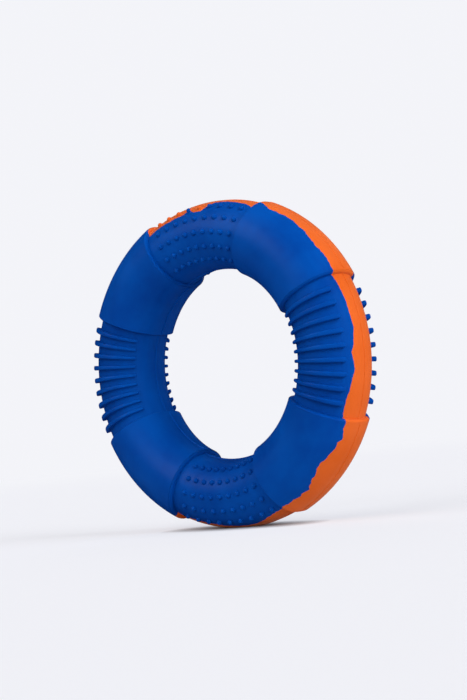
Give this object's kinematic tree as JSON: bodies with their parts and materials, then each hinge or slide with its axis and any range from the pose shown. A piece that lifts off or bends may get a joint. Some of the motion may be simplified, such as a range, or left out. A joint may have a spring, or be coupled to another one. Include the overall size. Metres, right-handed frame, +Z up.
{
  "type": "rubber chew ring",
  "caption": "Chunky rubber chew ring for dogs with smooth sleeves, ribbed and nubbed grips, and an orange core that shows as a ragged band round the rim between two blue shells.",
  "frame": {"origin": "on the ground under the middle of the ring, which stands on its rim", "axes": "+Z up, Y along the ring's axis with the front towards -Y, +X to the right seen from the front"},
  "size_m": [0.1466, 0.0368, 0.146],
  "materials": {
    "orange_rubber": "satin moulded rubber",
    "blue_rubber": "satin moulded rubber"
  },
  "bodies": {
    "root": {"core_ring": "orange_rubber", "front_shell": "blue_rubber", "back_shell": "blue_rubber"}
  },
  "joints": []
}
